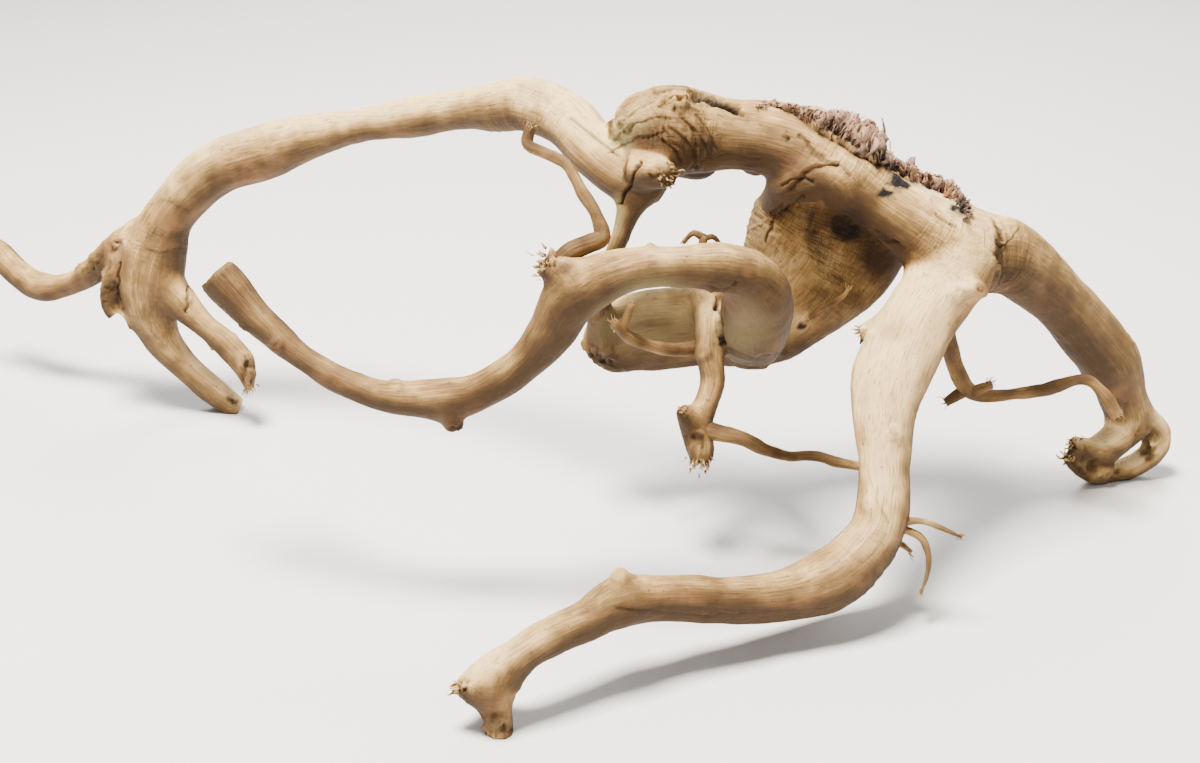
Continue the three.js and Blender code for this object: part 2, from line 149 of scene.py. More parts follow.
def routeOf(stations, spacing=1.2 * mm):
    # a smooth curve through the stations (each stretch blends its four nearest ones by cubic weights),
    # read off at even steps of its length, with the radius carried along
    stations = np.asarray(stations, float)
    knots = np.column_stack([drawn(stations), stations[:, 3] * unit])
    padded = np.vstack([2 * knots[0] - knots[1], knots, 2 * knots[-1] - knots[-2]])
    t = np.linspace(0, 1, 40, endpoint=False)[:, None]
    weights = np.hstack([-t + 2 * t**2 - t**3, 2 - 5 * t**2 + 3 * t**3,
                         t + 4 * t**2 - 3 * t**3, -t**2 + t**3]) / 2
    windows = np.stack([padded[k:k + len(knots) - 1] for k in range(4)], 1)
    fine = np.vstack([np.einsum("tw,nwc->ntc", weights, windows).reshape(-1, 4), knots[-1]])
    run = np.concatenate([[0], np.cumsum(np.linalg.norm(np.diff(fine[:, :3], axis=0), axis=1))])
    even = np.linspace(0, run[-1], max(6, int(run[-1] / spacing)))
    return np.column_stack([np.interp(even, run, fine[:, k]) for k in range(4)]), even


def framesOf(points, facing=None):
    # tangents, and two directions across: held to a facing, or turned along with the curve
    tangent = np.gradient(points, axis=0)
    tangent /= np.linalg.norm(tangent, axis=1, keepdims=True)
    if facing is not None:
        wide = np.cross(tangent, facing)
    else:
        wide = np.zeros_like(tangent)
        side = np.cross(tangent[0], (0.31, 0.22, 0.92))
        for k, forward in enumerate(tangent):   # a step of the path at a time
            side = side - forward * (side @ forward)
            side /= np.linalg.norm(side)
            wide[k] = side
    wide /= np.linalg.norm(wide, axis=1, keepdims=True)
    return tangent, wide, np.cross(tangent, wide)


def lattice(cells):
    # one pseudo-random value from 0 to 1 for each whole-number cell
    x, y, z = [cells[..., k].astype(np.uint64) for k in range(3)]
    mixed = (x * np.uint64(73856093)) ^ (y * np.uint64(19349663)) ^ (z * np.uint64(83492791))
    mixed = (mixed ^ (mixed >> np.uint64(13))) * np.uint64(1274126177) & np.uint64(0xFFFFFFFF)
    mixed = (mixed ^ (mixed >> np.uint64(16))) & np.uint64(0xFFFFFF)
    return mixed.astype(float) / 0xFFFFFF


def noise(points, scale, seed=0, octaves=3):
    # smooth random hills: lattice values blended by s-curves, each finer octave half as strong; from -1 to 1
    total, strength, reach = 0, 1.0, 0
    for octave in range(octaves):
        p = points / scale * 2**octave + 1000.5 + 37.7 * seed + 11.3 * octave
        base = np.floor(p).astype(np.int64)
        f = p - base
        f = f * f * (3 - 2 * f)
        value = 0
        for corner in range(8):
            step = np.array([corner & 1, corner >> 1 & 1, corner >> 2 & 1])
            weight = np.prod(np.where(step, f, 1 - f), axis=1)
            value = value + weight * lattice(base + step)
        total = total + strength * (2 * value - 1)
        reach += strength
        strength /= 2
    return total / reach


def smoothStep(value, low, high):
    t = np.clip((value - low) / (high - low), 0, 1)
    return t * t * (3 - 2 * t)


fieldForm = {"blend": 3.0 * mm, "carveBlend": 2.2 * mm, "far": 30 * mm,   # how softly limbs and hollow join
             "tanBlend": 4 * mm, "grainBlend": 2.5 * mm, "apart": 0.7}   # apart: keeps each limb's grain its own


def limbOf(name, stations, number, facing=None, flatness=1):
    route, run = routeOf(stations)
    points, radius = route[:, :3], np.maximum(route[:, 3], 0.4 * mm)
    tangent, wide, deep = framesOf(points, facing)
    return {"name": name, "points": points, "radius": radius, "run": run, "tangent": tangent, "wide": wide,
            "deep": deep, "flatness": flatness, "number": number}


facing = np.array(plateForm["facing"]) / np.linalg.norm(plateForm["facing"])
grown = [limbOf(name, stations, k) for k, (name, stations) in enumerate(limbs.items())]
grown += [limbOf(name, stations, 30 + k, facing, plateForm["flatness"])
          for k, (name, stations) in enumerate(plates.items())]
grown.append(limbOf("crestRib", crestRoute, 40))
hollow = limbOf("hollow", hollowRoute, 50)
print("routes", len(grown), "limbs,", round(sum(l["run"][-1] for l in grown), 2), "m of wood")


def distanceTo(limb, points):
    # how far each point lies outside the limb's skin (negative inside), the way out, and its place in the
    # straightened limb: offsets across it and the length along it
    axis, radius = limb["points"], limb["radius"]
    far = fieldForm["far"] + radius.max()
    near = np.all((points > axis.min(0) - far) & (points < axis.max(0) + far), axis=1)
    f = np.full(len(points), 1.0)
    outward = np.zeros_like(points)
    place = np.zeros_like(points)
    if not near.any():
        return f, outward, place
    p = points[near]
    squared = (p**2).sum(1)[:, None] + (axis**2).sum(1)[None, :] - 2 * p @ axis.T
    k = squared.argmin(1)
    v = p - axis[k]
    s = (v * limb["tangent"][k]).sum(1)
    w = (v * limb["wide"][k]).sum(1)
    d = (v * limb["deep"][k]).sum(1)
    slope = np.gradient(radius, limb["run"])[k]
    last = len(axis) - 1
    beyond = np.where(k == 0, np.maximum(-s, 0), np.where(k == last, np.maximum(s, 0), 0))
    inRun = np.where((k > 0) & (k < last), s, 0)
    r = np.maximum(radius[k] + slope * inRun, 0.3 * mm)
    q = r * limb["flatness"]
    level = np.sqrt((w / r)**2 + (d / q)**2) + 1e-9
    steep = np.sqrt((w / r**2)**2 + (d / q**2)**2) + 1e-9
    side = level * (level - 1) / steep
    gw, gd = w / r**2 / steep, d / q**2 / steep
    aside = limb["wide"][k] * gw[:, None] + limb["deep"][k] * gd[:, None]
    end = np.sign(s)[:, None] * limb["tangent"][k]
    out = np.hypot(np.maximum(side, 0), beyond)
    value = np.where(beyond > 0, np.where(side > 0, out, np.maximum(side, beyond - 0.25 * r)), side)
    past = aside * np.maximum(side, 0.2 * mm)[:, None] + end * beyond[:, None]
    way = np.where((beyond > 0)[:, None], past, aside)
    way /= np.linalg.norm(way, axis=1, keepdims=True) + 1e-12
    f[near], outward[near] = value, way
    place[near] = np.column_stack([w, d, limb["run"][k] + s])
    return f, outward, place


def rootField(points):
    # all limbs grown together: distances joined by a soft minimum, which fills the crotches, and the hollow
    # taken out by a soft maximum
    blend = fieldForm["blend"]
    total, way = np.zeros(len(points)), np.zeros_like(points)
    for limb in grown:
        f, outward, _ = distanceTo(limb, points)
        weight = np.exp(-np.clip(f, -0.06, 0.06) / blend)
        total += weight
        way += weight[:, None] * outward
    f = -blend * np.log(total)
    way /= total[:, None]
    g, inward, _ = distanceTo(hollow, points)
    carve = fieldForm["carveBlend"]
    share = 1 / (1 + np.exp(np.clip((f + g) / carve, -40, 40)))
    f = np.maximum(f, -g) + carve * np.log1p(np.exp(-np.abs(f + g) / carve))
    way = way * (1 - share[:, None]) - inward * share[:, None]
    return f, way


def tube(limb, sides=20):
    # a profile carried along the limb's route: centre + radius * (wide * cos + deep * sin * flatness)
    turn = np.linspace(0, 2 * np.pi, sides, endpoint=False)
    ring = limb["wide"][:, None] * np.cos(turn)[None, :, None] \
        + limb["deep"][:, None] * np.sin(turn)[None, :, None] * limb["flatness"]
    grid = limb["points"][:, None] + ring * limb["radius"][:, None, None]
    return closedTube(grid)


def closedTube(grid):
    # the grid's rows are rings; both ends close on a pole
    rows, sides = grid.shape[:2]
    points = np.vstack([grid.reshape(-1, 3), grid[0].mean(0), grid[-1].mean(0)])
    row, col = np.meshgrid(np.arange(rows - 1), np.arange(sides), indexing="ij")
    a = row * sides + col
    b = row * sides + (col + 1) % sides
    quads = np.stack([a, b, b + sides, a + sides], -1).reshape(-1, 4)
    col = np.arange(sides)
    first = np.column_stack([np.full(sides, rows * sides), (col + 1) % sides, col])
    top = (rows - 1) * sides
    last = np.column_stack([np.full(sides, rows * sides + 1), top + col, top + (col + 1) % sides])
    return points, [quads, np.vstack([first, last])]


def meshOf(name, parts):
    # parts are (points, faces) pairs, put into one mesh
    points = np.vstack([p for p, _ in parts])
    starts = np.cumsum([0] + [len(p) for p, _ in parts[:-1]])
    blocks = [f + start for (_, faces), start in zip(parts, starts) for f in faces]
    loops = np.concatenate([b.ravel() for b in blocks])
    sizes = np.concatenate([np.full(len(b), b.shape[1]) for b in blocks])
    mesh = bpy.data.meshes.new(name)
    mesh.vertices.add(len(points))
    mesh.vertices.foreach_set("co", points.ravel())
    mesh.loops.add(len(loops))
    mesh.loops.foreach_set("vertex_index", loops)
    mesh.polygons.add(len(sizes))
    mesh.polygons.foreach_set("loop_start", np.concatenate([[0], np.cumsum(sizes)[:-1]]))
    mesh.update(calc_edges=True)
    mesh.validate()
    mesh.shade_smooth()
    piece = bpy.data.objects.new(name, mesh)
    bpy.context.collection.objects.link(piece)
    return piece


def pointsOf(piece):
    points = np.empty(len(piece.data.vertices) * 3, np.float32)
    piece.data.vertices.foreach_get("co", points)
    return points.reshape(-1, 3).astype(float)


def movePoints(piece, points):
    piece.data.vertices.foreach_set("co", points.astype(np.float32).ravel())
    piece.data.update()


def applied(piece):
    # the piece with its modifiers made real
    seen = piece.evaluated_get(bpy.context.evaluated_depsgraph_get())
    mesh = bpy.data.meshes.new_from_object(seen)
    old = piece.data
    piece.modifiers.clear()
    piece.data = mesh
    bpy.data.meshes.remove(old)
    return piece


def regrown(piece, voxel):
    remesh = piece.modifiers.new("grown together", "REMESH")
    remesh.mode, remesh.voxel_size, remesh.use_smooth_shade = "VOXEL", voxel, True
    return applied(piece)


def settle(piece, rounds, limit):
    # each vertex steps along the way out until it lies on the grown-together skin
    points = pointsOf(piece)
    for _ in range(rounds):
        f, way = rootField(points)
        step = np.clip(f, -limit, limit)
        points -= way * (step / np.maximum((way**2).sum(1), 0.3))[:, None]
    movePoints(piece, points)


bodyForm = {"coarse": 2.6 * mm, "fine": 1.78 * mm}   # remesh steps
body = meshOf("grownRoot", [tube(limb) for limb in grown])
body = regrown(body, bodyForm["coarse"])
settle(body, 4, 3 * mm)
print("coarse skin", len(body.data.vertices))
body = regrown(body, bodyForm["fine"])
settle(body, 3, 1.5 * mm)
print("fine skin", len(body.data.vertices), "vertices")


# Where marks of the wood show in the photograph: the picture is 1200 x 763, the lens 50 mm on a 36 mm sensor
picture = {"wide": 1200, "high": 763, "lens": 50, "sensor": 36, "eye": (0, -707, 430), "aim": (0, 0, 100)}
eye, aim = drawn([picture["eye"]])[0], drawn([picture["aim"]])[0]
ahead = (aim - eye) / np.linalg.norm(aim - eye)
rightward = np.cross(ahead, (0, 0, 1)) / np.linalg.norm(np.cross(ahead, (0, 0, 1)))
upward = np.cross(rightward, ahead)


def seenAt(points):
    # column, row and distance of each point in the picture
    v = points - eye
    depth = v @ ahead
    focal = picture["wide"] * picture["lens"] / picture["sensor"]
    return np.column_stack([picture["wide"] / 2 + focal * (v @ rightward) / depth,
                            picture["high"] / 2 - focal * (v @ upward) / depth]), depth


def inSight(points, way):
    # 1 where the skin faces the eye and nothing nearer covers it, read from a coarse grid of nearest depths
    spot, depth = seenAt(points)
    cell, cover, turned = 5, 14 * mm, (0.02, 0.3)   # pixels; how far behind still counts; facing the eye from, to
    column, row = [np.clip((spot[:, k] // cell).astype(int), 0, 300) for k in (0, 1)]
    nearest = np.full((301, 301), 9.0)
    np.minimum.at(nearest, (column, row), depth)
    facingEye = (way * (eye - points)).sum(1) / np.linalg.norm(eye - points, axis=1)
    return smoothStep(facingEye, *turned) * (depth < nearest[column, row] + cover), spot


def besideLine(spot, line):
    # distance from a line drawn left to right through picture points, and 1 above it or -1 below it
    line = np.asarray(line, float)
    best, side = np.full(len(spot), 1e9), np.ones(len(spot))
    for a, b in zip(line[:-1], line[1:]):
        t = np.clip(((spot - a) @ (b - a)) / ((b - a) @ (b - a)), 0, 1)
        gap = spot - a - t[:, None] * (b - a)
        distance = np.linalg.norm(gap, axis=1)
        nearer = distance < best
        side[nearer] = np.sign((b - a)[1] * gap[nearer, 0] - (b - a)[0] * gap[nearer, 1] + 1e-9)
        best[nearer] = distance[nearer]
    return best, side


def nearLine(spot, line, width):
    # 1 on a line drawn through picture points, falling to 0 at its width (both in pixels)
    return 1 - smoothStep(besideLine(spot, line)[0], 0.25 * width, width)


def wayThrough(column, row):
    # from the eye through a place of the picture
    focal = picture["wide"] * picture["lens"] / picture["sensor"]
    way = ahead * focal + rightward * (column - picture["wide"] / 2) + upward * (picture["high"] / 2 - row)
    return way / np.linalg.norm(way)


def cutFiner(piece, wanted):
    # every edge that ends on a wanted vertex is cut in two
    work = bmesh.new()
    work.from_mesh(piece.data)
    edges = [edge for edge in work.edges if wanted[edge.verts[0].index] or wanted[edge.verts[1].index]]
    bmesh.ops.subdivide_edges(work, edges=edges, cuts=1, use_grid_fill=True)
    work.to_mesh(piece.data)
    work.free()
    piece.data.shade_smooth()


def nearSpot(spot, marks):
    # marks are (column, row, half width, half height, strength)
    total = np.zeros(len(spot))
    for column, row, across, high, strength in marks:
        reach = np.hypot((spot[:, 0] - column) / across, (spot[:, 1] - row) / high)
        total = np.maximum(total, strength * (1 - smoothStep(reach, 0.35, 1.25)))
    return total


oddLimbs = ["splinter", "tornStub", "plateLip", "underFlap", "underFlapTwo", "crownBack", "archArm", "frontLeg",
            "plate", "rightArm", "stemKnob", "hookStub", "loopThorn", "clawBridge"]   # grain of the second kind
marks = {   # picture places of what the wood shows
    "cracks": [   # line, width, depth mm
        ([(640, 163), (634, 178), (628, 190), (622, 202)], 3, 2.0),
        ([(783, 203), (772, 214), (770, 228), (764, 242)], 2.2, 1.4),
        ([(803, 194), (794, 202), (788, 207), (776, 216)], 2.2, 1.2),
        ([(785, 184), (800, 178), (812, 180)], 2.2, 0.9), ([(186, 262), (189, 285), (187, 312)], 2.2, 1.2),
        ([(120, 262), (118, 288), (124, 312)], 2.2, 1.2), ([(716, 296), (720, 320), (722, 345)], 4, 2.4),
        ([(736, 282), (726, 287), (716, 290)], 3, 1.0), ([(697, 93), (715, 103), (738, 112)], 5, 2.2),
        ([(690, 128), (697, 146), (694, 166)], 3, 0.6), ([(700, 125), (710, 140), (712, 158)], 3, 0.5),
        ([(664, 128), (672, 142), (684, 150)], 3, 0.5), ([(876, 232), (886, 240), (900, 243)], 3, 0.9),
        ([(938, 214), (950, 222), (957, 224)], 2.5, 0.7),
        ([(800, 136), (812, 150), (822, 160), (838, 166)], 3.5, 1.0)],
    "ledges": [   # line, reach, height mm
        ([(655, 92), (672, 88), (690, 92), (706, 98), (722, 106), (740, 114)], 9, 1.8),
        ([(660, 106), (675, 101), (688, 106), (700, 115)], 6, 0.7),
        ([(620, 124), (634, 112), (650, 104)], 6, 0.6),
        ([(614, 140), (632, 126), (655, 117), (668, 118)], 7, 0.6),
        ([(612, 152), (636, 138), (660, 132)], 7, 0.5),
        ([(672, 128), (684, 137), (694, 150), (698, 164)], 7, 0.7),
        ([(682, 118), (698, 132), (708, 150)], 7, 0.6), ([(697, 116), (708, 130), (716, 146)], 6, 0.7),
        ([(664, 140), (676, 150), (684, 164)], 6, 0.8),
        ([(762, 100), (795, 112), (815, 128), (838, 141), (856, 153), (881, 163)], 9, 1.6),
        ([(700, 158), (730, 152), (760, 156)], 8, 0.6),
        ([(790, 186), (812, 168), (838, 162), (850, 176)], 8, 1.1),
        ([(745, 232), (775, 214), (800, 204)], 7, 0.7), ([(590, 352), (606, 362), (622, 368)], 6, 1.3),
        ([(722, 345), (752, 356), (784, 350)], 7, 0.8), ([(572, 120), (596, 138), (618, 156)], 6, 0.8),
        ([(146, 206), (164, 199), (186, 208)], 12, 0.3), ([(140, 246), (160, 252), (186, 246)], 12, 0.4),
        ([(1000, 262), (1008, 244), (1016, 232)], 7, 0.6), ([(712, 284), (722, 286), (735, 288)], 6, 0.8),
        ([(858, 240), (884, 236), (905, 246)], 7, 0.7),
        ([(618, 606), (660, 611), (700, 615), (745, 612)], 8, 0.5),
        ([(868, 470), (876, 500), (890, 522)], 8, 0.4)],
    "stains": [   # column, row, half width, half height, strength; so are the next three
        (897, 330, 18, 12, 0.55), (925, 372, 10, 18, 0.5), (888, 385, 8, 24, 0.4), (905, 470, 14, 22, 0.45),
        (842, 560, 28, 12, 0.5), (790, 600, 32, 10, 0.45), (104, 243, 24, 16, 0.8), (640, 258, 18, 10, 0.8),
        (712, 249, 12, 5, 0.9), (748, 270, 6, 9, 0.8), (675, 594, 36, 11, 0.75), (276, 345, 9, 8, 0.8),
        (893, 435, 6, 10, 0.7), (222, 370, 20, 12, 0.5), (340, 380, 34, 12, 0.45), (160, 245, 20, 10, 0.4),
        (868, 536, 20, 8, 0.45), (640, 152, 26, 14, 0.35), (505, 705, 22, 16, 0.6), (205, 215, 26, 12, 0.35),
        (300, 345, 40, 16, 0.4), (1110, 300, 30, 30, 0.3), (560, 250, 18, 8, 0.7), (120, 262, 14, 30, 0.5),
        (60, 285, 30, 10, 0.5), (235, 390, 14, 12, 0.6), (800, 160, 18, 10, 0.35)],
    # dark: spots painted dark, mostly painted shade in the hollow, under lips and in pits and holes
    "dark": [
        (848, 224, 24, 22, 1.0), (878, 258, 24, 30, 0.6), (838, 300, 30, 18, 0.15), (822, 240, 20, 36, 0.35),
        (800, 325, 5, 4, 1.0), (645, 338, 60, 36, 0.5), (697, 178, 24, 9, 0.9), (674, 111, 3, 3, 0.7),
        (694, 170, 16, 6, 0.8), (750, 165, 14, 4, 0.7), (566, 268, 12, 8, 0.5), (1118, 452, 7, 5, 0.4),
        (700, 436, 6, 5, 0.7), (693, 438, 5, 5, 0.6), (788, 139, 2.5, 3, 0.9), (498, 724, 18, 13, 0.4),
        (464, 694, 7, 9, 0.4), (118, 298, 3, 12, 0.5), (246, 364, 3, 5, 0.9), (252, 380, 2, 5, 0.7)],
    "char": [
        (892, 167, 13, 7, 1), (902, 179, 11, 10, 1), (884, 193, 14, 6, 1), (962, 206, 10, 13, 1),
        (886, 158, 8, 5, 0.8)],
    "green": [
        (655, 300, 40, 30, 0.4), (650, 325, 55, 35, 0.9), (622, 140, 14, 22, 0.8), (632, 120, 22, 14, 0.5),
        (618, 215, 8, 24, 0.6), (740, 330, 40, 30, 0.3)],
    "rough": [   # column, row, half width, half height
        (464, 688, 13, 16), (497, 726, 20, 13), (694, 441, 15, 15), (549, 260, 15, 12), (1118, 406, 9, 9),
        (1076, 456, 16, 20), (1148, 442, 16, 20), (657, 173, 17, 9), (862, 334, 7, 10), (246, 378, 9, 14),
        (601, 354, 20, 14), (690, 97, 44, 9), (106, 285, 12, 26), (232, 400, 8, 6), (622, 126, 14, 12),
        (88, 262, 20, 12), (110, 240, 18, 15), (458, 424, 8, 6), (1098, 470, 30, 10)],
    "knots": [   # column, row, reach, height mm
        (477, 721, 7, -3.5), (246, 358, 7, 2.2), (251, 374, 6, 2.0), (243, 368, 5, 1.6), (972, 288, 11, 3.4),
        (955, 292, 8, 2.0), (620, 578, 9, 1.6), (276, 345, 9, 1.5), (573, 274, 5, 0.9), (680, 104, 10, 2.6),
        (697, 296, 7, 1.6), (712, 300, 5, 1.2), (688, 298, 4, 1.0), (786, 140, 5, -1.0), (452, 424, 7, 1.2),
        (895, 436, 7, 0.8), (868, 505, 9, 0.7), (1130, 340, 9, 0.8), (650, 258, 8, 0.6), (185, 300, 8, 0.9),
        (232, 165, 10, 0.8), (395, 385, 9, 0.9), (713, 292, 9, 1.2), (650, 243, 6, 1.2), (866, 335, 8, 1.2),
        (893, 420, 6, -0.5), (451, 424, 8, 0.8), (703, 352, 10, 1.2), (240, 330, 7, 0.8), (184, 240, 7, 0.6),
        (925, 278, 5, -0.5)],
}
# painted shade: the wood is painted pale on faces turned to the key light and brown on faces turned away: the way that
# light comes from, and the range of that
shade = {"from": (-0.12, -0.22, 1), "range": (-0.2, 0.88), "unevenness": 0.12, "tanUnevenness": 0.35,
         "cloud": 0.55, "cloudSize": 26 * mm, "hollow": 0.62, "hollowEases": 0.75}   # darkness of stain clouds, hollow
fades = {   # from, to: distance from the crest and from the hollow, way along the hollow, dip of the skin in mm
    "torn": (0.5 * mm, 7 * mm), "hollow": (-3 * mm, 6 * mm), "alongHollow": (16 * mm, 42 * mm), "creaseShade": (0.15, 1.4),
    "cloud": (0.28, 0.62)}
keyLightWay = np.array(shade["from"]) / np.linalg.norm(shade["from"])
relief = {   # height and wave length in millimetres
    "swell": (1.7, 42), "lumps": (0.95, 15), "furrows": (0.6, 8), "ridges": (0.3, 3),
    "flakes": (3.4, 3.4), "chips": (3.6, 6), "tornFibres": (1.21, 2.6), "tornSteps": (1.65, 5)}
wrinkleZones = [   # (column, row, half width, half height), wave length mm, depth mm: folds across the grain
    ((800, 250, 70, 90), 3.6, 0.42), ((680, 130, 45, 45), 3.2, 0.45), ((1012, 262, 26, 40), 3.4, 0.4),
    ((772, 262, 14, 14), 4.0, 0.2), ((165, 245, 40, 20), 6, 0.15), ((860, 160, 60, 35), 5.5, 0.35),
    ((530, 120, 45, 40), 5.0, 0.25), ((868, 560, 60, 40), 4.4, 0.22), ((960, 250, 60, 40), 5.5, 0.25),
]
tans = {   # how tanned a limb is from its start to its end: bleached below 0, dark tan above 1
    "frontLeg": (-0.9, -1.3, -0.8, 0.7, 1.3, 1.0, -0.5), "loopArm": (0.0, 0.3, 0.8, 1.3, 1.6), "crown": (0.9, 0.3),
    "archArm": (-0.3, -0.5, -0.2, 0.0), "crownBack": (0.6, 0.6), "claw": (-0.4, -0.4), "clawBridge": (-0.2, -0.2),
    "rightArm": (0.3, 0.4, 0.3, -0.3), "plate": (-0.6, 0.2), "leftStub": (0.55, 0.55), "flange": (0.1, 0.1),
    "strut": (0.45, 0.45), "others": (0.55, 0.55)}


def placesOn(points):
    # each point's place in the two best straightened limbs (one of each kind), how much of the second it has,
    # how near the torn crest is, and how tanned the limbs are there
    found = {kind: [np.full(len(points), 1.0), np.zeros_like(points)] for kind in (0, 1)}
    torn = plated = None
    weights, tanned = np.zeros(len(points)), np.zeros(len(points))
    for limb in grown:
        f, _, place = distanceTo(limb, points)
        weight = np.exp(-np.clip(f, -0.02, 0.06) / fieldForm["tanBlend"])
        weights += weight
        stops = tans.get(limb["name"], tans["others"])
        tanned += weight * np.interp(place[:, 2], np.linspace(0, limb["run"][-1], len(stops)), stops)
        best, at = found[1 if limb["name"] in oddLimbs else 0]
        better = f < best
        best[better] = f[better]
        at[better] = place[better] + np.array([0, 0, fieldForm["apart"] * limb["number"]])
        if limb["name"] == "crestRib":
            torn = f
        if limb["name"] == "plate":
            plated = 1 - smoothStep(f, 1.5 * mm, 5 * mm)
    (fA, a), (fB, b) = found[0], found[1]
    share = 1 / (1 + np.exp(np.clip((fB - fA) / fieldForm["grainBlend"], -40, 40)))
    return a, b, share, torn, tanned / weights, plated


def insideBox(points):
    # nothing reaches past the box of the solid part
    return np.clip(points, np.array(cadBox[0]) + 0.02 * mm, np.array(cadBox[1]) - 0.02 * mm)


def foldsAt(points, spot, plated, acrossGrain):
    # growth folds: sine waves across the grain, wavering, each fading out at its zone's edge; and where they are
    fold, folded = np.zeros(len(points)), np.zeros(len(points))
    waver = 8 * noise(points, 18 * mm, 6, 2) + 1.6 * noise(points, 6 * mm, 7, 2)
    for k, (zone, wave, depth) in enumerate(wrinkleZones):
        reach = np.hypot((spot[:, 0] - zone[0]) / zone[2], (spot[:, 1] - zone[1]) / zone[3])
        strength = (1 - smoothStep(reach, 0.5, 1.3)) * (plated if k == 0 else 1)
        folded = np.maximum(folded, strength)
        fold += strength * depth * acrossGrain(lambda q: np.sin(2 * np.pi * (q[:, 2] / mm + waver) / wave))
    quiet = 0.5 + 0.5 * smoothStep(noise(points, 20 * mm, 8, 2), -0.3, 0.4)
    return fold * quiet, folded


def marksAt(points, spot, sight):
    # how far ledges, cracks, knots and rough breaks move the skin, the painted shadow in their gaps, and the painted
    # shadow of the cracks alone
    move, shadow, cracks = [np.zeros(len(points)) for _ in range(3)]
    wander = noise(points, 5 * mm, 31, 2)[:, None] * np.array([[2.2, 2.6]])
    for line, reach, height in marks["ledges"]:   # a lip above the line and a dark gap below it
        far, side = besideLine(spot + wander, line)
        lip = (side > 0) * np.exp(-far / reach) * smoothStep(far, 0, 1.6)
        gap = (side < 0) * np.exp(-(far / (0.38 * reach))**2)
        move += sight * height * (lip - 0.7 * gap)
        shadow = np.maximum(shadow, sight * gap * min(1, 0.1 + 0.3 * height))
    waver = np.column_stack([noise(points, 4 * mm, 9, 2), noise(points, 4 * mm, 10, 2)])
    for line, width, depth in marks["cracks"]:
        near = nearLine(spot + 3.4 * waver, line, width) * sight
        move -= depth * near
        cracks = np.maximum(cracks, near * min(1, 0.1 + 0.4 * depth))
    for column, row, reach, height in marks["knots"]:   # a round swelling with a pit beside it
        aside, below = (spot[:, 0] - column) / reach, (spot[:, 1] - row) / reach
        r = np.hypot(aside, below)
        swelling = 0.5 * np.exp(-(r - 0.6)**2 / 0.09) + 1.3 * np.exp(-r**2 / 0.7) - 0.5 * np.exp(-r**2 / 0.05)
        move += sight * height * swelling
        pit = np.exp(-((aside - 0.75)**2 + (below - 0.3)**2) / 0.16)
        shadow = np.maximum(shadow, 0.55 * pit * sight * (height > 0.7))
    roughness = nearRough(spot) * sight
    flakes = noise(points * np.array([1, 1, 0.6]), relief["flakes"][1] * mm, 51, 3)
    chips = np.round(3 * noise(points, relief["chips"][1] * mm, 52, 2)) / 3
    move += roughness * (relief["flakes"][0] * flakes + relief["chips"][0] * chips - 0.5)
    shadow = np.maximum(shadow, 0.75 * roughness * smoothStep(-flakes - 0.7 * chips, 0.0, 0.5))
    return move, shadow, cracks


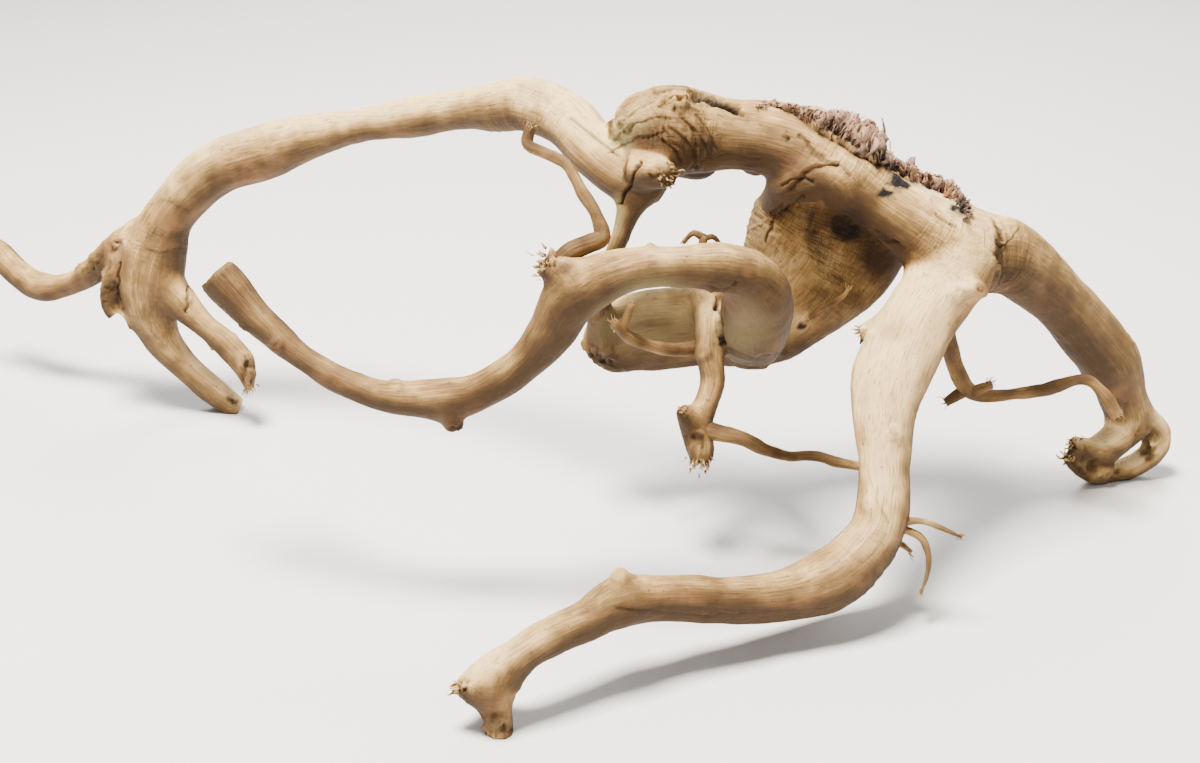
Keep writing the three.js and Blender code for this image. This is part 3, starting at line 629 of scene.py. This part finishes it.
def dress(piece):
    # relief and marks: the skin moves along its way out by hills, furrows along the grain, folds across it,
    # knots, cracks and the torn crest, and the same values are kept as attributes for the wood's colour
    points = pointsOf(piece)
    _, way = rootField(points)
    way /= np.linalg.norm(way, axis=1, keepdims=True) + 1e-9
    a, b, share, torn, tanned, plated = placesOn(points)
    sight, spot = inSight(points, way)

    def onGrain(shape):
        # a shape drawn in both straightened limbs, mixed by their share
        return shape(a) * (1 - share) + shape(b) * share

    def hills(name, seed, stretch):
        height, wave = relief[name]
        return height * onGrain(lambda q: noise(q * np.array([1, 1, 1 / stretch]), wave * mm, seed))

    swell = relief["swell"][0] * noise(points, relief["swell"][1] * mm, 1, 2)
    move = swell + relief["lumps"][0] * noise(points, relief["lumps"][1] * mm, 2, 2)
    move += hills("furrows", 3, 7) + hills("ridges", 4, 7)
    fold, folded = foldsAt(points, spot, plated, onGrain)
    marked, shadow, cracks = marksAt(points, spot, sight)
    steps = noise(points * np.array([1, 1, 0.35]), relief["tornSteps"][1] * mm, 13, 2)
    tornShare = 1 - smoothStep(torn, *fades["torn"])
    stepped = relief["tornSteps"][0] * np.round(2.5 * steps) / 2.5
    move += fold + marked + tornShare * (hills("tornFibres", 12, 1 / 0.3) + stepped)
    points += way * (move * mm)[:, None]
    movePoints(piece, insideBox(points))
    cloudy = shade["cloud"] * smoothStep(noise(points, shade["cloudSize"], 15, 3), *fades["cloud"])
    # painted shade in the hollow: darkest near its start, easing further along it and fading out of it
    g, _, inHollow = distanceTo(hollow, points)
    deep = shade["hollow"] * (1 - shade["hollowEases"] * smoothStep(inHollow[:, 2], *fades["alongHollow"]))
    paintedHollowShade = deep * (1 - smoothStep(g + 5 * mm * noise(points, 12 * mm, 35, 3), *fades["hollow"]))
    broken = spot + 9 * np.column_stack([noise(points, 4 * mm, 38, 3), noise(points, 4 * mm, 39, 3)])
    # painted shade: darker where the skin dips below its swell, in folds and wrinkles
    creaseShade = smoothStep(swell - move, *fades["creaseShade"])
    # painted shade: how far each face turns to the key light, a little uneven
    lit = way @ keyLightWay + shade["unevenness"] * noise(points, 12 * mm, 36, 3)
    low, high = shade["range"]
    # kept for the colour: stain clouds, the dark spots with the painted hollow shade, and char; then torn wood, green
    # tint, and painted shade of folds and cracks
    keep(piece, grainOne=a, grainTwo=b, grainShare=share, folded=folded,
         marks=np.column_stack([np.maximum(nearSpot(spot, marks["stains"]) * sight, cloudy),
                                np.maximum(nearSpot(spot, marks["dark"]) * sight, paintedHollowShade),
                                nearSpot(broken, marks["char"]) * sight]),
         finish=np.column_stack([tornShare, nearSpot(spot, marks["green"]) * sight, np.maximum(creaseShade, cracks)]),
         crackShare=np.maximum(cracks, 0.75 * shadow),
         sheltered=1 - np.clip((lit - low) / (high - low), 0, 1),
         tanned=tanned + shade["tanUnevenness"] * noise(points, 30 * mm, 33, 3))


def keep(piece, **columns):
    # values kept on the vertices for the material
    for name, values in columns.items():
        several = np.ndim(values) == 2
        attribute = piece.data.attributes.new(name, "FLOAT_VECTOR" if several else "FLOAT", "POINT")
        attribute.data.foreach_set("vector" if several else "value", values.astype(np.float32).ravel())


def nearRough(spot):
    return nearSpot(spot, [(*mark, 1) for mark in marks["rough"]])


def readyForMarks(piece):
    # twice cut finer where cracks and ledges come, once at knots and rough breaks
    knots = [(column, row, reach, reach, 1) for column, row, reach, _ in marks["knots"]]
    for reach in (8, 3):
        points = pointsOf(piece)
        _, way = rootField(points)
        sight, spot = inSight(points, way / (np.linalg.norm(way, axis=1, keepdims=True) + 1e-9))
        wanted = (nearRough(spot) > 0.3) | (nearSpot(spot, knots) > 0.4) if reach > 5 else np.zeros(len(points), bool)
        for line, *_ in marks["cracks"] + marks["ledges"]:
            wanted |= nearLine(spot, line, 2 * reach) > 0.5
        cutFiner(piece, wanted & (sight > 0.05))


readyForMarks(body)
dress(body)
print("relief and marks", len(body.data.polygons), "faces")


def linear(code):
    # sRGB hex to linear
    parts = [int(code[k:k + 2], 16) / 255 for k in (1, 3, 5)]
    return [c / 12.92 if c <= 0.04045 else ((c + 0.055) / 1.055)**2.4 for c in parts] + [1]


def add(tree, kind, out=0, stops=(), **settings):
    # one node with its settings and links: in_NAME is an input, given a number, a hex colour or a socket
    node = tree.nodes.new("ShaderNode" + kind)
    for name, value in settings.items():
        key = name[3:]
        if not name.startswith("in_"):
            setattr(node, name, value)
            continue
        socket = node.inputs[int(key) if key.isdigit() else key]
        if isinstance(value, bpy.types.NodeSocket):
            tree.links.new(value, socket)
        else:
            socket.default_value = linear(value) if isinstance(value, str) else value
    for k, (at, colour) in enumerate(stops):
        stop = node.color_ramp.elements[k] if k < 2 else node.color_ramp.elements.new(at)
        stop.position, stop.color = at, linear(colour) if isinstance(colour, str) else [colour] * 3 + [1]
    return node.outputs[out]


def newMaterial(name):
    # an empty material with its node tree and its shader
    material = bpy.data.materials.new(name)
    material.use_nodes = True
    return material, material.node_tree, material.node_tree.nodes["Principled BSDF"]


def weighed(tree, *terms, plus=0.0):
    # the sum of values times their weights; a weight may be a value too
    for value, weight in terms:
        plus = add(tree, "Math", operation="MULTIPLY_ADD", in_0=value, in_1=weight, in_2=plus)
    return plus


# Debarked azalea root, sand-blasted and dried: satin with closed grain; painted pale on faces towards the key light and
# tan to brown as painted shade below and in the folds, with the limbs' own tan and stains mixed in
woodForm = {
    # pale to under: a ramp from faces lit by the key light to painted shade on undersides, with the limbs' tan between
    "pale": "#F0CE92", "cream": "#BC975F", "tan": "#816338", "brown": "#594022", "under": "#422E16",
    # hollow and deep: painted shade in the hollow and at the dark spots; deep also paints the shadow in cracks and gaps
    "stain": "#91653F", "green": "#B5A873", "hollow": "#38230F", "deep": "#070402", "char": "#171311",
    "torn": "#B89C8C", "tornPale": "#D9C5B4", "shelteredShare": 1.0, "tannedShare": 0.35, "grainShare": 1.25,
    "blotchShare": 0.75, "fibreWidth": 0.9 * mm, "streakWidth": 5 * mm, "poreWidth": 0.55 * mm, "cloudSize": 30 * mm,
    "blotchSize": 11 * mm, "speckSize": 2.2 * mm, "wrinkleWidth": 14 * mm, "bumpHeight": 0.75 * mm,
    "roughness": 0.62, "ior": 1.5, "specular": 0.25}   # sanded and dry: little shine
# dark and deep: painted shade of the hollow and the dark spots; crack: painted shadow in cracks and gaps; the folds get
# painted shade too
laid = {"stain": 0.85, "green": 0.55, "pore": 0.35, "creaseShade": 0.5, "torn": 0.85, "dark": 1.5, "deep": 0.5,
        "crack": 0.92, "charEdge": 1.6}   # how strongly each layer covers; deep: the darkness where black sets in


def debarkedWood():
    material, tree, shader = newMaterial("debarkedRootWood")

    share, sheltered, tanned, gapShadowed, folded = [
        add(tree, "Attribute", "Fac", attribute_name=name)
        for name in ("grainShare", "sheltered", "tanned", "crackShare", "folded")]
    stained, darkAndPaintedShade, charred, torn, greened, creaseShaded = [
        channel for name in ("marks", "finish") for channel in
        add(tree, "SeparateXYZ", in_0=add(tree, "Attribute", "Vector", attribute_name=name)).node.outputs]
    place = add(tree, "TexCoord", "Object")
    cloud, blotch, speckle = [
        add(tree, "TexNoise", in_Vector=place, in_Scale=1 / size, in_Detail=detail)
        for size, detail in ((woodForm["cloudSize"], 4), (woodForm["blotchSize"], 5), (woodForm["speckSize"], 2))]

    def alongGrain(width, stretch, detail, seed=0.0):
        # noise drawn out along both straightened limbs and mixed by their share
        values = []
        for name in ("grainOne", "grainTwo"):
            spot = add(tree, "Mapping", in_Vector=add(tree, "Attribute", "Vector", attribute_name=name),
                       in_Location=(seed, seed, seed), in_Scale=(1, 1, 1 / stretch))
            values.append(add(tree, "TexNoise", in_Vector=spot, in_Scale=1 / width, in_Detail=detail,
                              in_Roughness=0.6))
        return add(tree, "Mix", data_type="FLOAT", in_0=share, in_2=values[0], in_3=values[1])

    fibre = alongGrain(woodForm["fibreWidth"], 22, 4)
    streak = alongGrain(woodForm["streakWidth"], 9, 3, 3.1)
    tone = weighed(tree, (fibre, 0.42), (streak, 0.4), (cloud, 0.35))
    # painted shade: faces turned from the key light go down the ramp to brown, the limbs' tan adds to it, and the grain
    # breaks both up
    grained, blotched = woodForm["grainShare"], woodForm["blotchShare"]
    depth = weighed(tree, (sheltered, woodForm["shelteredShare"]), (tanned, woodForm["tannedShare"]),
                    (tone, -grained), (blotch, -blotched), plus=0.58 * grained + 0.5 * blotched)
    colour = add(tree, "ValToRGB", in_Fac=depth, stops=[
        (0.0, woodForm["pale"]), (1.0, woodForm["under"]), (0.25, woodForm["cream"]), (0.5, woodForm["tan"]),
        (0.75, woodForm["brown"])])
    edge = weighed(tree, (blotch, 3.2), plus=-0.96)   # breaks the outline of stains and char
    speck = add(tree, "ValToRGB", in_Fac=speckle, stops=[(0.67, 0.0), (0.74, 0.6)])
    pore = add(tree, "ValToRGB", in_Fac=alongGrain(woodForm["poreWidth"], 14, 2, 7.7),
               stops=[(0.31, 1.0), (0.43, 0.0)])
    tornTone = add(tree, "ValToRGB", in_Fac=weighed(tree, (fibre, 0.7), (blotch, 0.3)),
                   stops=[(0.38, woodForm["torn"]), (0.62, woodForm["tornPale"])])
    # layers over the ramp: stains, specks, green tint, pores and torn wood, then painted shade in the folds, the hollow
    # and dark spots, painted shadow in cracks, and char
    dark = weighed(tree, (darkAndPaintedShade, weighed(tree, (streak, 1.0), plus=0.5)))
    for amount, over in (   # from the skin's stains to what is blackest
            (weighed(tree, (weighed(tree, (stained, edge)), laid["stain"])), woodForm["stain"]),
            (speck, woodForm["brown"]),   # specks of bark left in the skin
            (weighed(tree, (greened, laid["green"])), woodForm["green"]),
            (weighed(tree, (pore, laid["pore"])), woodForm["brown"]),
            (weighed(tree, (creaseShaded, laid["creaseShade"])), woodForm["brown"]),
            (weighed(tree, (torn, laid["torn"])), tornTone),
            (weighed(tree, (dark, laid["dark"])), woodForm["hollow"]),
            (weighed(tree, (dark, laid["dark"]), plus=-laid["dark"] * laid["deep"]), woodForm["deep"]),
            (weighed(tree, (gapShadowed, laid["crack"])), woodForm["deep"]),
            (weighed(tree, (charred, weighed(tree, (edge, laid["charEdge"]), plus=0.5))), woodForm["char"])):
        colour = add(tree, "Mix", 2, data_type="RGBA", in_0=amount, in_6=colour, in_7=over)
    tree.links.new(colour, shader.inputs["Base Color"])
    tree.links.new(weighed(tree, (fibre, 0.3), plus=woodForm["roughness"] - 0.08), shader.inputs["Roughness"])
    shader.inputs["IOR"].default_value = woodForm["ior"]
    shader.inputs["Specular IOR Level"].default_value = woodForm["specular"]
    # fibres, streaks and pores, and growth wrinkles across the grain where the wood was pressed
    wrinkle = weighed(tree, (alongGrain(woodForm["wrinkleWidth"], 0.13, 3, 5.3), 2.6), plus=-1.3)
    height = weighed(tree, (fibre, 0.6), (streak, 0.9), (pore, -0.25), (wrinkle, folded), (blotch, 1.6))
    bump = add(tree, "Bump", in_Height=height, in_Strength=1.0, in_Distance=woodForm["bumpHeight"])
    tree.links.new(bump, shader.inputs["Normal"])
    return material


nodeName = "spiderwood_root"


def settled(piece, material):
    piece.data.materials.clear()
    piece.data.materials.append(material)
    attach(piece, "root")
    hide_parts(nodeName)


wood = debarkedWood()
settled(body, wood)


twigForm = {"sides": 18, "bumps": ((0.75, 3.2, 0.35), (0.5, 9, 1)), "sliver": 0.55, "stain": 0.3}   # mm, mm, stretch


def makeTwigs():
    # bumpy closed tubes: radius plus two noises read in the straightened twig; torn slivers are flat
    parts, places = [], []
    turn = np.linspace(0, 2 * np.pi, twigForm["sides"], endpoint=False)
    for k, (name, stations) in enumerate(twigs.items()):
        limb = limbOf(name, stations, 60 + k)
        radius = limb["radius"][:, None]
        place = np.stack([radius * np.cos(turn), radius * np.sin(turn), limb["run"][:, None] + 0 * turn], -1)
        place = place.reshape(-1, 3)
        bumps = sum(high * noise(place * np.array([1, 1, squeeze]) + 0.3 * k, wave * mm, 20 + j, 3 - j)
                    for j, (high, wave, squeeze) in enumerate(twigForm["bumps"]))
        bumpy = radius + (bumps * mm).reshape(len(radius), -1) * np.minimum(1, radius / (2.2 * mm))
        thin = twigForm["sliver"] if name.startswith("spray") else 1
        across = limb["wide"][:, None] * np.cos(turn)[None, :, None]
        across = across + thin * limb["deep"][:, None] * np.sin(turn)[None, :, None]
        parts.append(closedTube(limb["points"][:, None] + across * bumpy[..., None]))
        shift = np.array([0, 0, fieldForm["apart"] * limb["number"]])
        places.append(np.vstack([place, place[:1], place[-1:]]) + shift)
    piece, place = meshOf("rootTwigs", parts), np.vstack(places)
    points = pointsOf(piece)
    movePoints(piece, insideBox(points))
    none = np.zeros(len(points))
    stain = twigForm["stain"] * smoothStep(noise(points, 14 * mm, 25, 3), -0.25, 0.45)
    # painted shade on the twigs: about half shaded, varied at random, and a little painted shade of folds
    keep(piece, grainOne=place, grainTwo=place, grainShare=none, crackShare=none, folded=none,
         marks=np.column_stack([stain, none, none]), finish=np.column_stack([none, none, none + 0.2]),
         sheltered=0.45 + 0.5 * noise(points, 12 * mm, 26, 3), tanned=none + 0.6)
    settled(piece, wood)
    print("twigs", len(points), "vertices")


makeTwigs()


def manyTubes(centres, radius, flat, seed, sides=5):
    # a batch of small tapering tubes: centres is (tubes, rings, 3), radius (tubes, rings), flat thins one way
    tubes, rings = radius.shape
    forward = np.gradient(centres, axis=1)
    forward /= np.linalg.norm(forward, axis=2, keepdims=True) + 1e-12
    random = np.random.default_rng(seed)
    wide = np.cross(forward, random.normal(size=(tubes, 1, 3)) + 0 * forward)
    wide /= np.linalg.norm(wide, axis=2, keepdims=True)
    deep = np.cross(forward, wide)
    turn = np.linspace(0, 2 * np.pi, sides, endpoint=False)
    across = wide[:, :, None] * np.cos(turn)[:, None]
    across = across + deep[:, :, None] * np.sin(turn)[:, None] * flat[:, None, None, None]
    grid = centres[:, :, None] + radius[:, :, None, None] * across
    points = np.concatenate([grid.reshape(tubes, -1, 3), centres[:, :1], centres[:, -1:]], axis=1)
    _, (quads, ends) = closedTube(grid[0])
    start = np.arange(tubes)[:, None, None] * points.shape[1]
    faces = [(quads[None] + start).reshape(-1, 4), (ends[None] + start).reshape(-1, 3)]
    tip = np.concatenate([np.repeat(np.linspace(0, 1, rings), sides), [0, 1]])
    shades = random.uniform(-0.35, 0.25, tubes)[:, None]
    return points.reshape(-1, 3), faces, (tip[None] + shades).ravel()


def bladesOf(roots, tips, width, bend, seed, blunt=(1.2, 4), thin=(0.25, 0.7)):
    # each blade runs from its root to its tip with a random bow, wide at the foot and ragged to a point
    random = np.random.default_rng(seed)
    rings = 6
    t = np.linspace(0, 1, rings)[None, :, None]
    length = np.linalg.norm(tips - roots, axis=1)[:, None, None]
    bow = random.normal(size=(len(roots), 1, 3)) * bend * length * np.sin(np.pi * t)
    bow = bow + random.normal(size=(len(roots), rings, 3)) * 0.05 * length
    centres = roots[:, None] * (1 - t) + tips[:, None] * t + bow
    taper = np.clip(1.05 - t[..., 0]**random.uniform(*blunt, (len(roots), 1)), 0.1, 1)
    radius = width[:, None] * taper * random.uniform(0.75, 1.25, (len(roots), rings))
    return manyTubes(centres, radius, random.uniform(*thin, len(roots)), seed + 1)


crestForm = {   # picture places along the torn crest's top and along its foot, and what stands there
    "top": [(755, 105), (770, 101), (790, 103), (812, 107), (832, 108), (848, 107), (860, 118), (872, 120), (880, 128),
            (876, 148), (893, 157), (907, 162), (922, 171), (939, 174), (952, 184), (964, 195), (969, 214)],
    "foot": [(757, 106), (775, 106), (795, 113), (812, 125), (826, 134), (838, 141), (850, 149), (862, 155), (876, 162),
             (884, 168), (898, 174), (910, 180), (924, 186), (938, 192), (950, 200), (959, 208), (965, 219)],
    "front": 1150, "back": 420, "depth": 84, "seed": 17,   # blades, and the sheet they stand on in drawing units
    "wideShare": 0.55, "wide": (1.0, 2.5), "narrow": (0.3, 0.8),   # blade widths in mm
    "along": (0, 0.2, 0.35, 0.5, 0.65, 1), "widths": (0.45, 0.7, 1.2, 1.25, 0.8, 0.7),
    "rearAlong": (0, 0.2, 0.35, 0.5, 0.62, 1), "heights": (0.1, 0.3, 0.8, 1, 0.6, 0.55)}


def along(line, t):
    # places at shares t of a picture line's points
    line = np.asarray(line, float)
    at = np.linspace(0, 1, len(line))
    return np.column_stack([np.interp(t, at, line[:, 0]), np.interp(t, at, line[:, 1])])


def atDepth(spot, back):
    # where the ways through picture places meet an upright sheet that stands `back` drawing units behind
    ways = np.array([wayThrough(*s) for s in spot])
    sheet = (back - layout["middle"][1]) * unit
    return eye + ways * ((sheet - eye[1]) / ways[:, 1])[:, None]


def onSkin(spot, back):
    # where the ways meet the grown body, or the upright sheet if they pass it by
    found = atDepth(spot, back)
    for k, place in enumerate(spot):
        hit, at, _, _ = body.ray_cast(Vector(eye), Vector(wayThrough(*place)))
        if hit and abs(at.y - found[k, 1]) < 40 * mm:
            found[k] = at
    return found


def tornCrest():
    # a front sheet of blades from the crest's foot to its broken top, and shorter ones behind it
    random = np.random.default_rng(crestForm["seed"])
    count = crestForm["front"]
    t, low = random.uniform(0, 1, count), random.uniform(0, 0.8, count)**0.9
    foot, top = along(crestForm["foot"], t), along(crestForm["top"], t)
    high = np.minimum(low + random.uniform(0.25, 0.8, count), random.uniform(0.7, 0.98, count))
    spot = foot + (top - foot) * low[:, None] + random.normal(size=(count, 2)) * 1.2
    reach = foot + (top - foot) * high[:, None] + random.normal(size=(count, 2)) * [2.2, 0.8] + [2, 0]
    sheet = crestForm["depth"] - 4 * (1 - low)
    roots, tips = onSkin(spot, sheet), atDepth(reach, crestForm["depth"])
    reachOut = np.linalg.norm(roots - eye, axis=1) - random.uniform(-3, 4, count) * mm
    tips = eye + (tips - eye) / np.linalg.norm(tips - eye, axis=1)[:, None] * reachOut[:, None]
    width = np.where(random.uniform(0, 1, count) < crestForm["wideShare"],
                     random.uniform(*crestForm["wide"], count), random.uniform(*crestForm["narrow"], count)) * mm
    width *= np.interp(t, crestForm["along"], crestForm["widths"])
    front = bladesOf(roots - [0, -1.2 * mm, 1.2 * mm], tips, width, 0.1, 101, blunt=(1.2, 9), thin=(0.08, 0.2))
    count = crestForm["back"]
    t = random.uniform(0, 1, count)
    ridge = atDepth(along(crestForm["foot"], t) * 0.6 + along(crestForm["top"], t) * 0.4, crestForm["depth"])
    roots = ridge + np.column_stack([random.normal(size=count) * 2, random.uniform(0, 8, count),
                                     -random.uniform(2, 9, count)]) * mm
    tall = np.interp(t, crestForm["rearAlong"], crestForm["heights"])
    tips = roots + tall[:, None] * (random.normal(size=(count, 3)) * 2.5 + np.column_stack(
        [0 * t, random.uniform(1, 8, count), random.uniform(4, 10, count)])) * mm
    rear = bladesOf(roots, tips, random.uniform(0.5, 2.8, count) * mm, 0.12, 102, blunt=(1.5, 9), thin=(0.1, 0.3))
    piece = meshOf("tornCrest", [front[:2], rear[:2]])
    movePoints(piece, insideBox(pointsOf(piece)))
    spot, _ = seenAt(pointsOf(piece))
    keep(piece, tip=np.concatenate([front[2], rear[2]]), charred=nearSpot(spot, marks["char"]))
    return piece


frays = {   # limb: fibres at its end, their length mm, spread
    "hookStub": (110, 3.4, 0.8), "risingTwig": (32, 3.6, 1.0), "footCorner": (64, 4, 0.7),
    "hangingStem": (120, 3.4, 0.8), "backTwig": (28, 5, 0.9), "backSpurOne": (19, 4, 1.0),
    "backSpurTwo": (19, 4, 1.0), "claw": (25, 6, 0.9), "rightArm": (25, 6, 0.9), "sprayUpper": (12, 6, 0.6),
    "sprayLower": (12, 7, 0.6), "sprayShort": (12, 5, 0.6), "kneeStub": (30, 3, 0.8), "tornStub": (64, 4, 1.0),
    "secondFinger": (22, 5, 0.9), "stemKnob": (16, 4, 1.0), "bowlTwig": (12, 4, 1.0), "forkLeft": (16, 5, 1.0),
    "forkRight": (16, 5, 1.0), "innerTwig": (16, 4, 1.0), "innerSpur": (12, 4, 1.0), "hangingTwig": (12, 3, 0.6)}
fibreForm = {"seed": 23, "thick": (0.25, 0.75), "onTwigs": 0.5, "bend": 0.14}   # mm; the share of it on twigs


def frayedEnds():
    # torn fibres that stand out of broken ends, along the limb with a random lean
    random = np.random.default_rng(fibreForm["seed"])
    ends = {limb["name"]: limb for limb in grown}
    ends |= {name: limbOf(name, stations, 60) for name, stations in twigs.items()}
    parts, tips = [], []
    for k, (name, (count, length, spread)) in enumerate(frays.items()):
        limb = ends[name]
        centre, way, r = limb["points"][-1], limb["tangent"][-1], limb["radius"][-1]
        lean = random.normal(size=(count, 3))
        roots = centre + lean * r * 0.42 - way * 1.5 * mm
        out = random.uniform(0.2, 0.9, (count, 1))**1.6 * 0.42 * length + 1
        thick = random.uniform(*fibreForm["thick"], count) * (fibreForm["onTwigs"] if name in twigs else 1) * mm
        points = roots + (way + lean * 0.4 * spread) * out * mm
        made = bladesOf(roots, points, thick, fibreForm["bend"], 200 + k)
        parts.append(made[:2])
        tips.append(made[2])
    piece = meshOf("frayedEnds", parts)
    movePoints(piece, insideBox(pointsOf(piece)))
    keep(piece, tip=np.concatenate(tips), charred=np.zeros(len(piece.data.vertices)))
    return piece


# torn fibres are dry and rough with no sheen; the colours are those of their roots, dark as painted shade, and of their
# tips
tornForm = {"crest": ("#1D110A", "#B59279"), "fringe": ("#4E3218", "#CBA56A"), "grainSize": 1.2 * mm,
            "patchSize": 9 * mm, "roughness": 0.85, "ior": 1.5}


def tornWood(name, root, tip):
    # painted shade: darker in the gaps at the roots; and black where the crest is charred
    material, tree, shader = newMaterial(name)
    rise, burnt = [add(tree, "Attribute", "Fac", attribute_name=column) for column in ("tip", "charred")]
    place = add(tree, "TexCoord", "Object")
    grain, patch = [add(tree, "TexNoise", in_Vector=place, in_Scale=1 / tornForm[size], in_Detail=3)
                    for size in ("grainSize", "patchSize")]
    tone = weighed(tree, (rise, 0.45), (grain, 0.4), (patch, 0.5), plus=-0.2)
    colour = add(tree, "ValToRGB", in_Fac=tone, stops=[(0.2, root), (0.62, tip)])
    colour = add(tree, "Mix", 2, data_type="RGBA", in_0=weighed(tree, (burnt, 0.9)), in_6=colour,
                 in_7=woodForm["char"])
    tree.links.new(colour, shader.inputs["Base Color"])
    shader.inputs["Roughness"].default_value = tornForm["roughness"]
    shader.inputs["IOR"].default_value = tornForm["ior"]
    return material


crest = tornCrest()
settled(crest, tornWood("tornPinkishRootWood", *tornForm["crest"]))
fringe = frayedEnds()
settled(fringe, tornWood("frayedStrawFibre", *tornForm["fringe"]))
print("torn crest and frayed ends", len(crest.data.polygons), len(fringe.data.polygons), "faces")

floorForm = {"size": 24, "colour": "#F4F3F1", "roughness": 0.9}   # matte paint without a sheen
lights = {"room": 0.22, "panels": [   # name, place, size in metres, watts, colour
    ("keyPanel", (-0.25, -0.14, 1.45), 0.45, 90, "#FFF8EE"),
    ("fillPanel", (0.9, -0.9, 0.8), 1.2, 5, "#FFFFFF"),
    ("backPanel", (0.3, 1.1, 1.2), 0.7, 22, "#FFFFFF")]}


def studio():
    # the pale floor, a white room, soft panels and the photograph's camera
    bpy.ops.mesh.primitive_plane_add(size=floorForm["size"])
    floor = bpy.context.object
    floor.name = "paleFloor"
    material, _, shader = newMaterial("mattePaintedFloor")
    shader.inputs["Base Color"].default_value = linear(floorForm["colour"])
    shader.inputs["Roughness"].default_value = floorForm["roughness"]
    floor.data.materials.append(material)
    world = bpy.data.worlds.new("softRoom")
    bpy.context.scene.world = world
    world.use_nodes = True
    world.node_tree.nodes["Background"].inputs[0].default_value = (1, 1, 1, 1)
    world.node_tree.nodes["Background"].inputs[1].default_value = lights["room"]
    for name, place, size, power, colour in lights["panels"]:
        data = bpy.data.lights.new(name, "AREA")
        data.size, data.energy, data.color = size, power, linear(colour)[:3]
        lamp = bpy.data.objects.new(name, data)
        bpy.context.collection.objects.link(lamp)
        lamp.location = place
        lamp.rotation_euler = (-Vector(place)).to_track_quat("-Z", "Y").to_euler()
    data = bpy.data.cameras.new("viewer")
    data.lens, data.sensor_width = picture["lens"], picture["sensor"]
    camera = bpy.data.objects.new("viewer", data)
    bpy.context.collection.objects.link(camera)
    camera.location = eye
    camera.rotation_euler = Vector(ahead).to_track_quat("-Z", "Y").to_euler()
    bpy.context.scene.camera = camera


studio()
